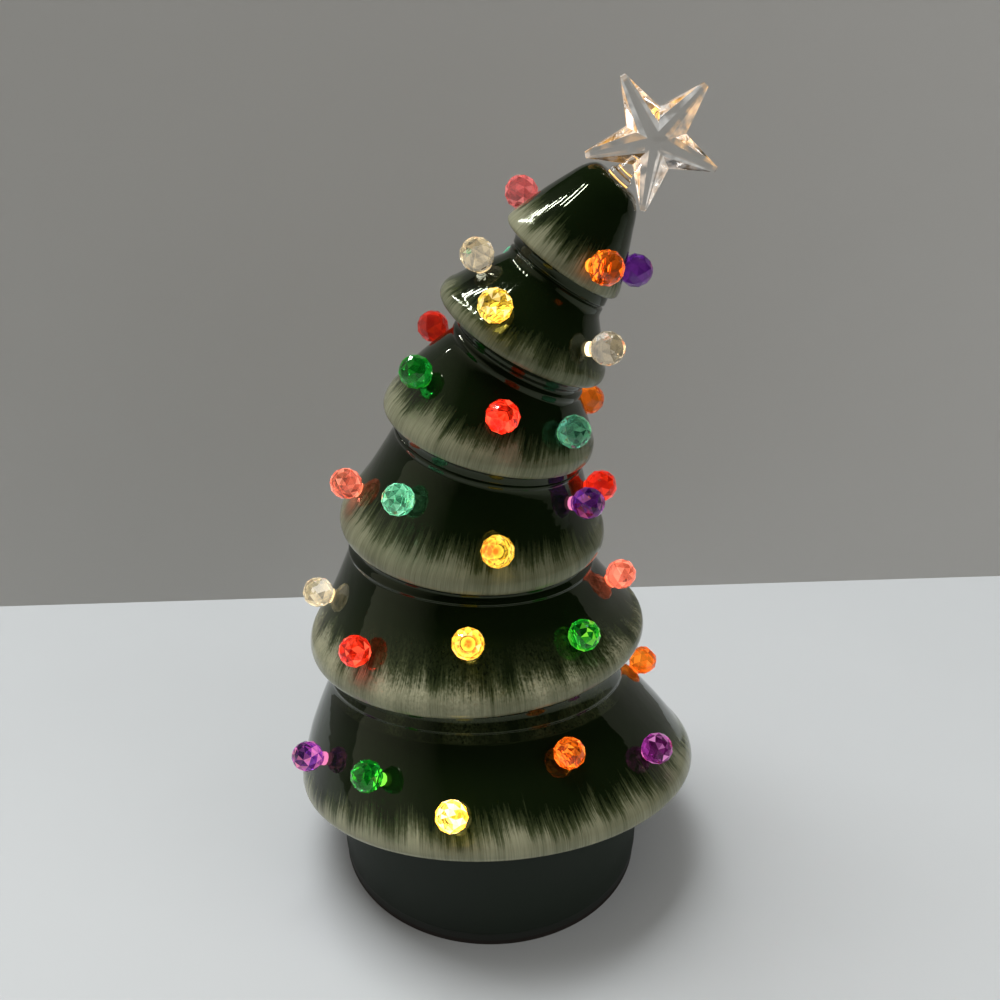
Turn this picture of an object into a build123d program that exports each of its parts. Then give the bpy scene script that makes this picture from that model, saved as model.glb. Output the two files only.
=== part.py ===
"""Lighted ceramic christmas tree on a battery drum base, built as separate pieces. Sizes in mm, +Z up."""
import os
from math import cos, radians, sin

from build123d import *

os.makedirs("parts", exist_ok=True)

# The drum's radius also sets the lowest tier, whose skirt goes round the drum
base_radius = 60.0
skirt_overhang = 18.5

# Tiers from the top down: lip centre, lip radius and the way the lip leans
tier_x = (25.0, 12.0, 0.0, -6.5, -5.5, 2.5)
tier_y = (13.5, 13.5, 14.0, 15.0, 14.0, 4.5)
tier_z = (242.0, 216.0, 182.5, 143.0, 97.5, 41.0)
tier_radius = (22.5, 32.0, 38.5, 49.5, 65.0, base_radius + skirt_overhang)
tier_tilt = (34.5, 28.5, 14.0, 4.5, -3.5, -3.5)
tier_lean = (0.0, -1.0, -1.0, -1.5, 5.0, 13.5)
lip_drop = (2.4, 3.3, 4.0, 4.6, 5.0, 5.0)
lip_inset = 1.0
underside_ratio = 0.6
underside_rise = 1.5
shoulder_at = 0.55
shoulder_bulge = (0.025, 0.015, 0.028, -0.025, -0.02, 0.02)

# Waists under the upper five lips: each is the ring on which the next slope starts
waist_inset = 2.1
waist_x = (21.3, 9.2, -0.7, -7.3, -5.4)
waist_y = (12.1, 15.2, 13.9, 17.5, 13.8)
waist_z = (231.9, 202.7, 171.9, 125.6, 73.9)
waist_radius = (18.7, 25.4, 34.6, 46.7, base_radius - waist_inset)
waist_tilt = (33.9, 27.1, 11.7, 3.1, -0.7)
waist_lean = (4.5, -1.8, -1.9, 4.9, 11.0)
waist_share = 0.92

# Walls of the casting
wall = 4.0
skirt_overrun = 2.0

# Tip of the tree and the star's socket
tip_x = 41.2
tip_y = 13.5
tip_z = 266.0
tip_tilt = 42.0
tip_radius = 10.4
tip_bevel = 1.2
cap_thickness = 10.5
socket_depth = 9.0
peg_radius = 2.8
peg_clearance = 0.15
peg_gap = 0.8

# Star
star_height = 16.4
star_radius = 22.8
star_valley = 10.0
star_thick = 11.0
star_rim = 2.4
star_tip_round = 1.0
star_apex = 0.05
collar_radius = 4.2
collar_height = 1.6
collar_gap = 0.3
stem_radius = 3.0

# Bulbs: every globe has flat facets in rings round its own axis
bulb_radius = 5.8
bulb_sides = 10
neck_radius = 2.9
neck_length = 0.5
neck_gap = 0.25
stud_radius = 2.6
stud_clearance = 0.15
stud_reach = 1.2
hole_overrun = 1.5
hole_extra_depth = 3.0

# Bulbs of each tier: angle round the axis in degrees, place down the slope, how far it is pulled out, colour
bulb_rows = (
    ((143, 0.88, 0.0, "pink"), (285, 0.82, 3.4, "orange"), (14, 0.79, 0.0, "purple"),
     (78, 0.72, 0.0, "green")),
    ((194, 0.38, 0.0, "clear"), (238, 0.66, 0.0, "yellow"), (314, 0.50, 1.6, "clear"),
     (60, 0.55, 0.0, "red"), (110, 0.50, 0.0, "teal")),
    ((147, 0.36, 0.0, "red"), (210, 0.49, 0.0, "green"), (266, 0.41, 0.0, "red"),
     (310, 0.42, 0.0, "teal"), (30, 0.67, 0.0, "orange"), (83, 0.45, 0.0, "yellow")),
    ((191, 0.68, 0.0, "coral"), (230, 0.37, 0.0, "teal"), (278, 0.64, 0.0, "yellow"),
     (326, 0.25, 1.0, "purple"), (349, 0.27, 0.0, "red"), (48, 0.55, 0.0, "green"),
     (122, 0.42, 0.0, "orange")),
    ((191, 0.49, 0.0, "clear"), (229, 0.66, 0.0, "red"), (269, 0.38, 0.0, "yellow"),
     (311, 0.53, 0.0, "green"), (354, 0.35, 0.0, "coral"), (55, 0.60, 0.0, "purple"),
     (92, 0.45, 0.0, "teal"), (128, 0.55, 0.0, "yellow")),
    ((211, 0.55, 1.6, "purple"), (238, 0.47, 3.4, "green"), (261, 0.69, 0.0, "yellow"),
     (297, 0.29, 0.0, "orange"), (326, 0.57, 0.0, "magenta"), (16, 0.32, 0.0, "orange"),
     (50, 0.60, 0.0, "clear"), (80, 0.40, 0.0, "red"), (108, 0.62, 0.0, "green"),
     (138, 0.42, 0.0, "teal")),
)

# Seat of the casting on the drum
shelf_z = 56.0
shelf_thick = 4.0
shelf_width = 16.0
gasket_thick = 1.0
gasket_inset = 3.0
gasket_width = 10.5

# Drum base
base_wall = 2.5
base_roof = 3.0
foot_thick = 2.0
foot_inset = 0.4
foot_width = 7.6
floor_thick = 3.0
floor_inset = 0.4
boss_radius = 4.0
boss_inset = 12.0
boss_angle = 60.0
screw_radius = 1.5
screw_length = 13.0
screw_end_gap = 1.0
screw_clearance = 0.05
head_radius = 2.8
head_height = 1.6
head_clearance = 0.2
head_sink = 0.4

# Battery bay, cells and contacts
cell_radius = 7.25
cell_length = 49.5
nub_radius = 2.75
nub_length = 1.0
cell_pitch = 15.2
cell_clearance = 0.3
spring_length = 5.4
spring_radius = 3.4
spring_wire = 0.8
plate_thick = 0.6
plate_width = 9.0
plate_height = 11.0
bay_wall = 2.0
bay_roof = 2.0
contact_gap = 0.1

# Battery door and its hinge
door_thick = 2.0
door_gap = 0.35
knuckle_radius = 2.4
knuckle_gap = 0.5
pin_radius = 1.2
pin_clearance = 0.05
pin_length = 1.8

# Slide switch on the underside
knob_length = 5.4
knob_width = 3.4
knob_proud = 1.3
switch_travel = 4.0
slide_gap = 0.3
flange_extra = 1.5
flange_height = 1.6
flange_lift = 0.4
switch_wall = 1.9
switch_height = 9.0

# Lamp post, board, lamps and wires inside the hollow
post_x = -3.0
post_y = 10.0
post_radius = 4.0
post_top = 118.0
post_flange = 12.0
flange_thick = 2.0
board_radius = 16.0
board_thick = 1.6
lamp_radius = 2.5
lamp_height = 5.2
lamp_circle_radius = 10.5
lamp_count = 6
wire_radius = 0.7
wire_offset = 7.0
wire_hole = 1.4
wire_bend = 3.0
wire_start = 21.0
wire_level = 40.0

# Levels that follow from the sizes above
base_top = shelf_z - gasket_thick
floor_top = foot_thick + floor_thick
hinge_z = foot_thick + knuckle_radius
cell_z = floor_top + knuckle_radius + cell_radius + cell_clearance
bay_top = cell_z + cell_radius + cell_clearance
bay_x = (cell_length + nub_length + spring_length + plate_thick) / 2 + 3 * contact_gap
bay_y = cell_pitch + cell_radius + 2 * cell_clearance
hinge_y = bay_y - knuckle_radius / 2
bay_back = hinge_y + knuckle_radius + knuckle_gap
switch_y = -(bay_y + bay_wall + base_radius - base_wall) / 2
shelf_inner = base_radius - shelf_width
gasket_outer = base_radius - gasket_inset
gasket_inner = gasket_outer - gasket_width
foot_outer = base_radius - foot_inset
foot_inner = foot_outer - foot_width
boss_circle_radius = base_radius - boss_inset
boss_x = boss_circle_radius * cos(radians(boss_angle))
boss_y = boss_circle_radius * sin(radians(boss_angle))


def tier_axes(tilt, lean):
    """Radial, backward and axial unit vectors of a ring that leans by tilt to +X and by lean to +Y."""
    axis = Vector(sin(radians(tilt)), sin(radians(lean)), cos(radians(tilt)) * cos(radians(lean)))
    axis = axis.normalized()
    across = Vector(0, 1, 0).cross(axis).normalized()
    return across, axis.cross(across), axis


def ring_plane(centre, axes):
    """Plane of a ring: x runs across, z along the tree's axis."""
    return Plane(origin=centre, x_dir=axes[0], z_dir=axes[2])


def blend_axes(first, second, part):
    """Axes a given part of the way from one ring to the next."""
    axis = (first[2] * (1 - part) + second[2] * part).normalized()
    across = Vector(0, 1, 0).cross(axis).normalized()
    return across, axis.cross(across), axis


lip_axes = [tier_axes(tilt, lean) for tilt, lean in zip(tier_tilt, tier_lean)]
lip_centre = [Vector(x, y, z) for x, y, z in zip(tier_x, tier_y, tier_z)]
tip_axes = tier_axes(tip_tilt, 0)
tip_centre = Vector(tip_x, tip_y, tip_z)

# Every slope starts on a ring under the tier above and ends on its own lip
slope_start = [(tip_centre - tip_axes[2] * tip_bevel, tip_radius, tip_axes)]
for tier in range(5):
    waist_centre = Vector(waist_x[tier], waist_y[tier], waist_z[tier])
    slope_start.append((waist_centre, waist_radius[tier], tier_axes(waist_tilt[tier], waist_lean[tier])))
slope_mid = []
for tier in range(6):
    start_centre, start_radius, start_axes = slope_start[tier]
    mid_centre = start_centre * (1 - shoulder_at) + lip_centre[tier] * shoulder_at
    mid_radius = start_radius * (1 - shoulder_at) + tier_radius[tier] * (shoulder_at + shoulder_bulge[tier])
    slope_mid.append((mid_centre, mid_radius, blend_axes(start_axes, lip_axes[tier], shoulder_at)))
slope_end = [(lip_centre[tier], tier_radius[tier], lip_axes[tier]) for tier in range(6)]

# Every waist starts on a ring inside the lip above it, half way over to its own foot
waist_top = []
for tier in range(5):
    foot_centre, foot_radius, foot_axes = slope_start[tier + 1]
    axis = lip_axes[tier][2]
    offset = foot_centre - lip_centre[tier]
    sideways = offset - axis * offset.dot(axis)
    top_centre = lip_centre[tier] - axis * (lip_drop[tier] / 2) + sideways / 2
    top_radius = min(foot_radius, waist_share * tier_radius[tier])
    waist_top.append((top_centre, top_radius, lip_axes[tier]))


def ring_point(ring, angle):
    """Point of a ring at an angle in degrees."""
    centre, radius, axes = ring
    return centre + axes[0] * (radius * cos(radians(angle))) + axes[1] * (radius * sin(radians(angle)))


def slope_point(tier, angle, place):
    """Point on a tier's slope, place 0 under the tier above and 1 on the lip."""
    if place < shoulder_at:
        first, second, part = slope_start[tier], slope_mid[tier], place / shoulder_at
    else:
        first, second, part = slope_mid[tier], slope_end[tier], (place - shoulder_at) / (1 - shoulder_at)
    return ring_point(first, angle) * (1 - part) + ring_point(second, angle) * part


def seat_plane(tier, angle, place):
    """Plane that touches the slope where a bulb sits, with z pointing outward."""
    spot = slope_point(tier, angle, place)
    round_way = slope_point(tier, angle + 0.1, place) - slope_point(tier, angle - 0.1, place)
    down_way = slope_point(tier, angle, place + 0.001) - slope_point(tier, angle, place - 0.001)
    outward = down_way.cross(round_way).normalized()
    middle = slope_start[tier][0] * (1 - place) + lip_centre[tier] * place
    if outward.dot(spot - middle) < 0:
        outward = outward * -1
    return Plane(origin=spot, x_dir=round_way.normalized(), z_dir=outward)


seats = []
for tier, row in enumerate(bulb_rows):
    for number, (angle, place, pull, colour) in enumerate(row):
        seats.append((f"bulb_t{tier + 1}_{number + 1}_{colour}", seat_plane(tier, angle, place), pull))

# Outside of the casting
with BuildPart() as tree_outside:
    with BuildSketch(ring_plane(tip_centre, tip_axes)):
        Circle(tip_radius - tip_bevel)
    with BuildSketch(ring_plane(*slope_start[0][::2])):
        Circle(tip_radius)
    loft(ruled=True)
    for tier in range(6):
        for centre, radius, axes in (slope_start[tier], slope_mid[tier], slope_end[tier]):
            with BuildSketch(ring_plane(centre, axes)):
                Circle(radius)
        loft(ruled=True)
        lip = tier_radius[tier]
        drop = lip_drop[tier]
        across, back, axis = lip_axes[tier]
        with BuildSketch(Plane(origin=lip_centre[tier], x_dir=across, z_dir=back * -1)):
            with BuildLine():
                ThreePointArc((lip, 0), (lip - lip_inset * 0.2, -drop * 0.55), (lip - lip_inset, -drop))
                if tier < 5:
                    under = underside_ratio * lip
                    Line((lip - lip_inset, -drop), (under, -drop - underside_rise))
                    Line((under, -drop - underside_rise), (0, -drop - underside_rise))
                    Line((0, -drop - underside_rise), (0, 0))
                else:
                    Line((lip - lip_inset, -drop), (0, -drop))
                    Line((0, -drop), (0, 0))
                Line((0, 0), (lip, 0))
            make_face()
        revolve(axis=Axis(lip_centre[tier], axis))
    for tier in range(5):
        for centre, radius, axes in (waist_top[tier], slope_start[tier + 1]):
            with BuildSketch(ring_plane(centre, axes)):
                Circle(radius)
        loft(ruled=True)

# Hollow of the casting, with the shelf that rests on the drum left standing
with BuildPart() as tree_hollow:
    for tier in range(6):
        rings = [slope_start[tier], slope_mid[tier], slope_end[tier]]
        if tier == 0:
            part = cap_thickness / (tip_centre - lip_centre[0]).length
            cap_centre = tip_centre * (1 - part) + lip_centre[0] * part
            cap_radius = tip_radius * (1 - part) + tier_radius[0] * part
            rings[0] = (cap_centre, cap_radius, blend_axes(tip_axes, lip_axes[0], part))
        for centre, radius, axes in rings:
            with BuildSketch(ring_plane(centre, axes)):
                Circle(radius - wall)
        loft(ruled=True)
        lip = tier_radius[tier]
        across, back, axis = lip_axes[tier]
        with BuildSketch(Plane(origin=lip_centre[tier], x_dir=across, z_dir=back * -1)):
            if tier < 5:
                under = underside_ratio * lip
                depth = lip_drop[tier] * 0.6
                with BuildLine():
                    Polyline((0, 0), (lip - wall, 0), (under, -depth), (0, -depth), close=True)
            else:
                depth = lip_drop[tier] + skirt_overrun
                with BuildLine():
                    Polyline((0, 0), (lip - wall, 0), (lip - wall, -depth), (0, -depth), close=True)
            make_face()
        revolve(axis=Axis(lip_centre[tier], axis))
    for tier in range(5):
        for centre, radius, axes in (waist_top[tier], slope_start[tier + 1]):
            with BuildSketch(ring_plane(centre, axes)):
                Circle(radius - wall)
        loft(ruled=True)
    with BuildSketch(Plane.XY.offset(shelf_z)):
        Circle(2 * tier_radius[5])
        Circle(shelf_inner, mode=Mode.SUBTRACT)
    extrude(amount=shelf_thick, mode=Mode.SUBTRACT)

with BuildPart() as tree_shell:
    add(tree_outside.part)
    add(tree_hollow.part, mode=Mode.SUBTRACT)
    with BuildSketch(ring_plane(tip_centre, tip_axes)):
        Circle(peg_radius + peg_clearance)
    extrude(amount=-socket_depth, mode=Mode.SUBTRACT)
    with BuildSketch(*[plane.offset(hole_overrun) for name, plane, pull in seats]):
        Circle(stud_radius + stud_clearance)
    extrude(amount=-(wall + hole_extra_depth + hole_overrun), mode=Mode.SUBTRACT)
tree_shell.part.label = "tree_shell"
export_step(tree_shell.part, "parts/tree_shell.step")

# One bulb standing on its seat, then a copy on every seat of the tree
with BuildPart() as bulb:
    centre_z = neck_gap + neck_length + bulb_radius * 0.87
    rings = ((-0.87, 0.50), (-0.50, 0.87), (0.0, 1.0), (0.50, 0.87), (0.87, 0.50))
    for level, spread in rings:
        with BuildSketch(Plane.XY.offset(centre_z + bulb_radius * level)):
            RegularPolygon(bulb_radius * spread, bulb_sides)
    loft(ruled=True)
    with BuildSketch(Plane.XY.offset(neck_gap)):
        Circle(neck_radius)
    extrude(amount=neck_length)
    with BuildSketch(Plane.XY.offset(neck_gap)):
        Circle(stud_radius)
    extrude(amount=-(neck_gap + wall + stud_reach))
for name, plane, pull in seats:
    copy = bulb.part.moved(Location(plane.offset(pull)))
    copy.label = name
    export_step(copy, f"parts/{name}.step")


def star_points(scale):
    """Corners of the star's outline, the first tip along local x."""
    corners = []
    for corner in range(10):
        reach = (star_radius if corner % 2 == 0 else star_valley) * scale
        corners.append((reach * cos(radians(36 * corner)), reach * sin(radians(36 * corner))))
    return corners


# Star: front and back facets on a thin rim, stem, collar and peg in one moulding
star_centre = tip_centre + tip_axes[2] * star_height
star_front = Plane(origin=star_centre, x_dir=tip_axes[2], z_dir=(0, -1, 0))
with BuildPart() as star_topper:
    for side in (1, -1):
        for scale, level in ((1.0, star_rim / 2), (star_apex, star_thick / 2)):
            with BuildSketch(star_front.offset(side * level)) as outline:
                with BuildLine():
                    Polyline(*star_points(scale), close=True)
                make_face()
                tips = outline.vertices().sort_by_distance((0, 0, 0))[5:]
                fillet(tips, star_tip_round * scale)
        loft(ruled=True)
    with BuildSketch(star_front.offset(-star_rim / 2)) as outline:
        with BuildLine():
            Polyline(*star_points(1.0), close=True)
        make_face()
        tips = outline.vertices().sort_by_distance((0, 0, 0))[5:]
        fillet(tips, star_tip_round)
    extrude(amount=star_rim)
    with BuildSketch(ring_plane(tip_centre + tip_axes[2] * collar_gap, tip_axes)):
        Circle(collar_radius)
    extrude(amount=collar_height)
    with BuildSketch(ring_plane(tip_centre + tip_axes[2] * collar_gap, tip_axes)):
        Circle(stem_radius)
    extrude(amount=star_height - collar_gap - star_valley / 2)
    with BuildSketch(ring_plane(tip_centre + tip_axes[2] * collar_gap, tip_axes)):
        Circle(peg_radius)
    extrude(amount=-(collar_gap + socket_depth - peg_gap))
star_topper.part.label = "star_topper"
export_step(star_topper.part, "parts/star_topper.step")

# Bonding ring between the shelf and the drum
with BuildPart() as seat_gasket:
    with BuildSketch(Plane.XY.offset(base_top)):
        Circle(gasket_outer)
        Circle(gasket_inner, mode=Mode.SUBTRACT)
    extrude(amount=gasket_thick)
seat_gasket.part.label = "seat_gasket"
export_step(seat_gasket.part, "parts/seat_gasket.step")

# Drum with its roof, four screw bosses and holes for the wires
boss_planes = GridLocations(2 * boss_x, 2 * boss_y, 2, 2)
wire_spots = ((post_x - wire_offset, post_y), (post_x + wire_offset, post_y))
with BuildPart() as base_housing:
    with BuildSketch(Plane.XY.offset(floor_top)):
        Circle(base_radius)
    extrude(amount=base_top - floor_top)
    with BuildSketch(Plane.XY.offset(floor_top)):
        Circle(base_radius - base_wall)
    extrude(amount=base_top - base_roof - floor_top, mode=Mode.SUBTRACT)
    with BuildSketch(Plane.XY.offset(floor_top)):
        with boss_planes:
            Circle(boss_radius)
    extrude(amount=base_top - base_roof - floor_top)
    with BuildSketch(Plane.XY.offset(floor_top)):
        with boss_planes:
            Circle(screw_radius + screw_clearance)
    extrude(amount=screw_length, mode=Mode.SUBTRACT)
    with BuildSketch(Plane.XY.offset(base_top)):
        with Locations(*wire_spots):
            Circle(wire_hole)
    extrude(amount=-base_roof, mode=Mode.SUBTRACT)
base_housing.part.label = "base_housing"
export_step(base_housing.part, "parts/base_housing.step")

# Bottom plate with the battery bay, hinge holes, screw holes and the switch slot
bay_mid = (bay_back - bay_y) / 2
bay_depth = bay_back + bay_y
with BuildPart() as base_floor:
    with BuildSketch(Plane.XY.offset(foot_thick)):
        Circle(base_radius - floor_inset)
    extrude(amount=floor_thick)
    with BuildSketch(Plane.XY.offset(floor_top)):
        with Locations((0, bay_mid)):
            Rectangle(2 * (bay_x + bay_wall), bay_depth + 2 * bay_wall)
    extrude(amount=bay_top + bay_roof - floor_top)
    with BuildSketch(Plane.XY.offset(foot_thick)):
        with Locations((0, bay_mid)):
            Rectangle(2 * bay_x, bay_depth)
    extrude(amount=bay_top - foot_thick, mode=Mode.SUBTRACT)
    with BuildSketch(Plane.YZ.offset(-bay_x - pin_length - contact_gap)):
        with Locations((hinge_y, hinge_z)):
            Circle(pin_radius + pin_clearance)
    extrude(amount=2 * (bay_x + pin_length + contact_gap), mode=Mode.SUBTRACT)
    with BuildSketch(Plane.XY.offset(foot_thick)):
        with boss_planes:
            Circle(screw_radius + screw_clearance)
    extrude(amount=floor_thick, mode=Mode.SUBTRACT)
    with BuildSketch(Plane.XY.offset(foot_thick)):
        with boss_planes:
            Circle(head_radius + head_clearance)
    extrude(amount=head_sink + head_height, mode=Mode.SUBTRACT)
    with BuildSketch(Plane.XY.offset(foot_thick)):
        with Locations((0, switch_y)):
            Rectangle(knob_length + switch_travel + 2 * slide_gap, knob_width + 2 * slide_gap)
    extrude(amount=floor_thick, mode=Mode.SUBTRACT)
base_floor.part.label = "base_floor"
export_step(base_floor.part, "parts/base_floor.step")

# Anti-slip ring that the tree stands on
with BuildPart() as foot_ring:
    with BuildSketch():
        Circle(foot_outer)
        Circle(foot_inner, mode=Mode.SUBTRACT)
    extrude(amount=foot_thick)
foot_ring.part.label = "foot_ring"
export_step(foot_ring.part, "parts/foot_ring.step")

# Four screws, heads sunk into the plate
with BuildPart() as housing_screws:
    with BuildSketch(Plane.XY.offset(foot_thick + head_sink)):
        with boss_planes:
            Circle(head_radius)
    extrude(amount=head_height)
    with BuildSketch(Plane.XY.offset(foot_thick + head_sink + head_height)):
        with boss_planes:
            Circle(screw_radius)
    extrude(amount=floor_top + screw_length - screw_end_gap - foot_thick - head_sink - head_height)
housing_screws.part.label = "housing_screws"
export_step(housing_screws.part, "parts/housing_screws.step")

# Battery door with a knuckle along its back edge and a pin at each end
door_x = bay_x - door_gap
door_front = -bay_y + door_gap
with BuildPart() as battery_door:
    with BuildSketch(Plane.XY.offset(foot_thick)):
        with Locations((0, (hinge_y + door_front) / 2)):
            Rectangle(2 * door_x, hinge_y - door_front)
    extrude(amount=door_thick)
    with BuildSketch(Plane.YZ.offset(-door_x)):
        with Locations((hinge_y, hinge_z)):
            Circle(knuckle_radius)
    extrude(amount=2 * door_x)
    with BuildSketch(Plane.YZ.offset(-bay_x - pin_length)):
        with Locations((hinge_y, hinge_z)):
            Circle(pin_radius)
    extrude(amount=2 * (bay_x + pin_length))
battery_door.part.label = "battery_door"
export_step(battery_door.part, "parts/battery_door.step")

# Three cells side by side
cell_rows = [(row * cell_pitch, cell_z) for row in (-1, 0, 1)]
cell_back = -bay_x + contact_gap + plate_thick + contact_gap
with BuildPart() as battery_cells:
    with BuildSketch(Plane.YZ.offset(cell_back + nub_length)):
        with Locations(*cell_rows):
            Circle(cell_radius)
    extrude(amount=cell_length)
    with BuildSketch(Plane.YZ.offset(cell_back)):
        with Locations(*cell_rows):
            Circle(nub_radius)
    extrude(amount=nub_length)
battery_cells.part.label = "battery_cells"
export_step(battery_cells.part, "parts/battery_cells.step")

# Flat contacts at the capped ends and coil contacts at the other ends
with BuildPart() as contact_plates:
    with BuildSketch(Plane.YZ.offset(-bay_x)):
        with Locations(*cell_rows):
            Rectangle(plate_width, plate_height)
    extrude(amount=plate_thick)
contact_plates.part.label = "contact_plates"
export_step(contact_plates.part, "parts/contact_plates.step")

spring_start = cell_back + nub_length + cell_length + contact_gap
with BuildPart() as contact_springs:
    with BuildSketch(Plane.YZ.offset(spring_start)):
        with Locations(*cell_rows):
            Circle(spring_radius)
            Circle(spring_radius - spring_wire, mode=Mode.SUBTRACT)
    extrude(amount=bay_x - spring_start)
contact_springs.part.label = "contact_springs"
export_step(contact_springs.part, "parts/contact_springs.step")

# Slide switch: body on the plate, slider through the slot
flange_length = knob_length + 2 * flange_extra
flange_width = knob_width + 2 * flange_extra
room_length = flange_length + switch_travel + 2 * slide_gap
room_width = flange_width + 2 * slide_gap
room_height = flange_lift + flange_height + slide_gap
with BuildPart() as switch_housing:
    with BuildSketch(Plane.XY.offset(floor_top)):
        with Locations((0, switch_y)):
            Rectangle(room_length + 2 * switch_wall, room_width + 2 * switch_wall)
    extrude(amount=switch_height)
    with BuildSketch(Plane.XY.offset(floor_top)):
        with Locations((0, switch_y)):
            Rectangle(room_length, room_width)
    extrude(amount=room_height, mode=Mode.SUBTRACT)
switch_housing.part.label = "switch_housing"
export_step(switch_housing.part, "parts/switch_housing.step")

with BuildPart() as switch_knob:
    with BuildSketch(Plane.XY.offset(foot_thick - knob_proud)):
        with Locations((-switch_travel / 2, switch_y)):
            Rectangle(knob_length, knob_width)
    extrude(amount=knob_proud + floor_thick + flange_lift)
    with BuildSketch(Plane.XY.offset(floor_top + flange_lift)):
        with Locations((-switch_travel / 2, switch_y)):
            Rectangle(flange_length, flange_width)
    extrude(amount=flange_height)
switch_knob.part.label = "switch_knob"
export_step(switch_knob.part, "parts/switch_knob.step")

# Lamp post on the drum's roof, reaching up into the hollow
with BuildPart() as led_post:
    with BuildSketch(Plane.XY.offset(base_top)):
        with Locations((post_x, post_y)):
            Circle(post_flange)
        with Locations(*wire_spots):
            Circle(wire_hole, mode=Mode.SUBTRACT)
    extrude(amount=flange_thick)
    with BuildSketch(Plane.XY.offset(base_top)):
        with Locations((post_x, post_y)):
            Circle(post_radius)
    extrude(amount=post_top - base_top)
led_post.part.label = "led_post"
export_step(led_post.part, "parts/led_post.step")

with BuildPart() as led_board:
    with BuildSketch(Plane.XY.offset(post_top)):
        with Locations((post_x, post_y)):
            Circle(board_radius)
    extrude(amount=board_thick)
led_board.part.label = "led_board"
export_step(led_board.part, "parts/led_board.step")

with BuildPart() as led_lamps:
    with BuildSketch(Plane.XY.offset(post_top + board_thick)):
        with Locations((post_x, post_y)):
            Circle(lamp_radius)
            with PolarLocations(lamp_circle_radius, lamp_count):
                Circle(lamp_radius)
    extrude(amount=lamp_height)
led_lamps.part.label = "led_lamps"
export_step(led_lamps.part, "parts/led_lamps.step")

# Two wires from the bay's roof, over to the post and up to the board
with BuildPart() as lead_wires:
    for side, spot in zip((-1, 1), wire_spots):
        start_x = side * wire_start
        with BuildLine() as run:
            FilletPolyline((start_x, spot[1], bay_top + bay_roof), (start_x, spot[1], wire_level),
                           (spot[0], spot[1], wire_level), (spot[0], spot[1], post_top), radius=wire_bend)
        with BuildSketch(Plane(origin=(start_x, spot[1], bay_top + bay_roof), z_dir=(0, 0, 1))):
            Circle(wire_radius)
        sweep(path=run.wires()[0])
lead_wires.part.label = "lead_wires"
export_step(lead_wires.part, "parts/lead_wires.step")
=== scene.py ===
"""Looks of the lighted ceramic tree: glazed casting, faceted bulbs, clear star and matte drum."""
import math
from functools import partial

import bpy
import numpy as np
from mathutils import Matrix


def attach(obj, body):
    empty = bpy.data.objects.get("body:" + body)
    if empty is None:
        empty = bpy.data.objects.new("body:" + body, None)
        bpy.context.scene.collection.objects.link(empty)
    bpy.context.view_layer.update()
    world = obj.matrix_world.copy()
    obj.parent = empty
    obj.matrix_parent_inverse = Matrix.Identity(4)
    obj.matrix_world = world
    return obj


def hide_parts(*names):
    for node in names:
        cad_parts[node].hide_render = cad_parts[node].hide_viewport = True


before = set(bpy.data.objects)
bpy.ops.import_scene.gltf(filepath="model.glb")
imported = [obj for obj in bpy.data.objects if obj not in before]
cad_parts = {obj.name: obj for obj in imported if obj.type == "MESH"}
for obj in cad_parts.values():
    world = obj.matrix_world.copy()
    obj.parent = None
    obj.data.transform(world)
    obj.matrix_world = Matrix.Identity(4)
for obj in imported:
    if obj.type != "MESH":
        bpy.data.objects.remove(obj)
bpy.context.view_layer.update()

MM = 0.001

# Tiers from the top down, as in the solids: lip centre, lip radius, lean to the right and to the back
TIER_CENTRE = np.array(((25.0, 13.5, 242.0), (12.0, 13.5, 216.0), (0.0, 14.0, 182.5),
                        (-6.5, 15.0, 143.0), (-5.5, 14.0, 97.5), (2.5, 4.5, 41.0)))
TIER_RADIUS = np.array((22.5, 32.0, 38.5, 49.5, 65.0, 78.5))
TIER_TILT = (34.5, 28.5, 14.0, 4.5, -3.5, -3.5)
TIER_LEAN = (0.0, -1.0, -1.0, -1.5, 5.0, 13.5)
LAST_TIER = 5
WALL = 4.0

# Slopes, as in the solids: place of the shoulder, its swelling as a part of the lip's radius;
# the waist's round ends at the top place
SHOULDER_AT = 0.55
SHOULDER_BULGE = (0.025, 0.015, 0.028, -0.025, -0.02, 0.02)
SLOPE_TOP = 0.09

# Shares of a tent and of an arch in the swelling, where the solids have the tent alone, and the power that
# softens the arch
SWELL_TENT = 0.35
SWELL_ARCH = 0.6
ARCH_POWER = 0.9

# Rounded lips: drop of the edge, place on the slope where the round starts, its corner and its widest ring
# as parts of the drop, then how far in the second corner and the end lie, how far the end hangs lower, and
# how many rings before the end the edge is
LIP_DROP = (2.4, 3.3, 4.0, 4.6, 5.0, 5.0)
LIP_ROUND_AT = 0.84
LIP_CORNER = 0.35
LIP_WIDEST = 0.45
LIP_TUCK = 0.2
LIP_UNDER = 2.4
LIP_SAG = 0.1
LIP_EDGE_ROWS = 3

# Brush on each tier: its reach up the slope, how much farther it reaches on the right, the paint it leaves
# and the wash above the strokes; then how much more paint it leaves on the left, partly painted light that
# makes the left side paler, the band that it paints, in parts of the slope's length, the painted sheen on
# the lowest waist, which stands in for its reflections, and of a tier's wash how steeply it comes in above
# the lip, the level from which it fades, cut off at 1, and how steeply it fades
BRUSH_REACH = np.array((0.31, 0.35, 0.48, 0.47, 0.38, 0.30))
BRUSH_SIDE = np.array((0.0, 0.0, 0.06, 0.0, -0.07, 0.08))
BRUSH_LOAD = np.array((0.98, 0.76, 1.00, 0.95, 1.00, 1.22))
BRUSH_WASH = np.array((0.03, 0.05, 0.05, 0.06, 0.50, 0.03))
# More paint on the left; partly painted light that makes the left side paler
LEFT_PAINT_AND_LIGHT = 0.22
BRUSH_LOW = -0.12
BRUSH_HIGH = 0.86
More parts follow.
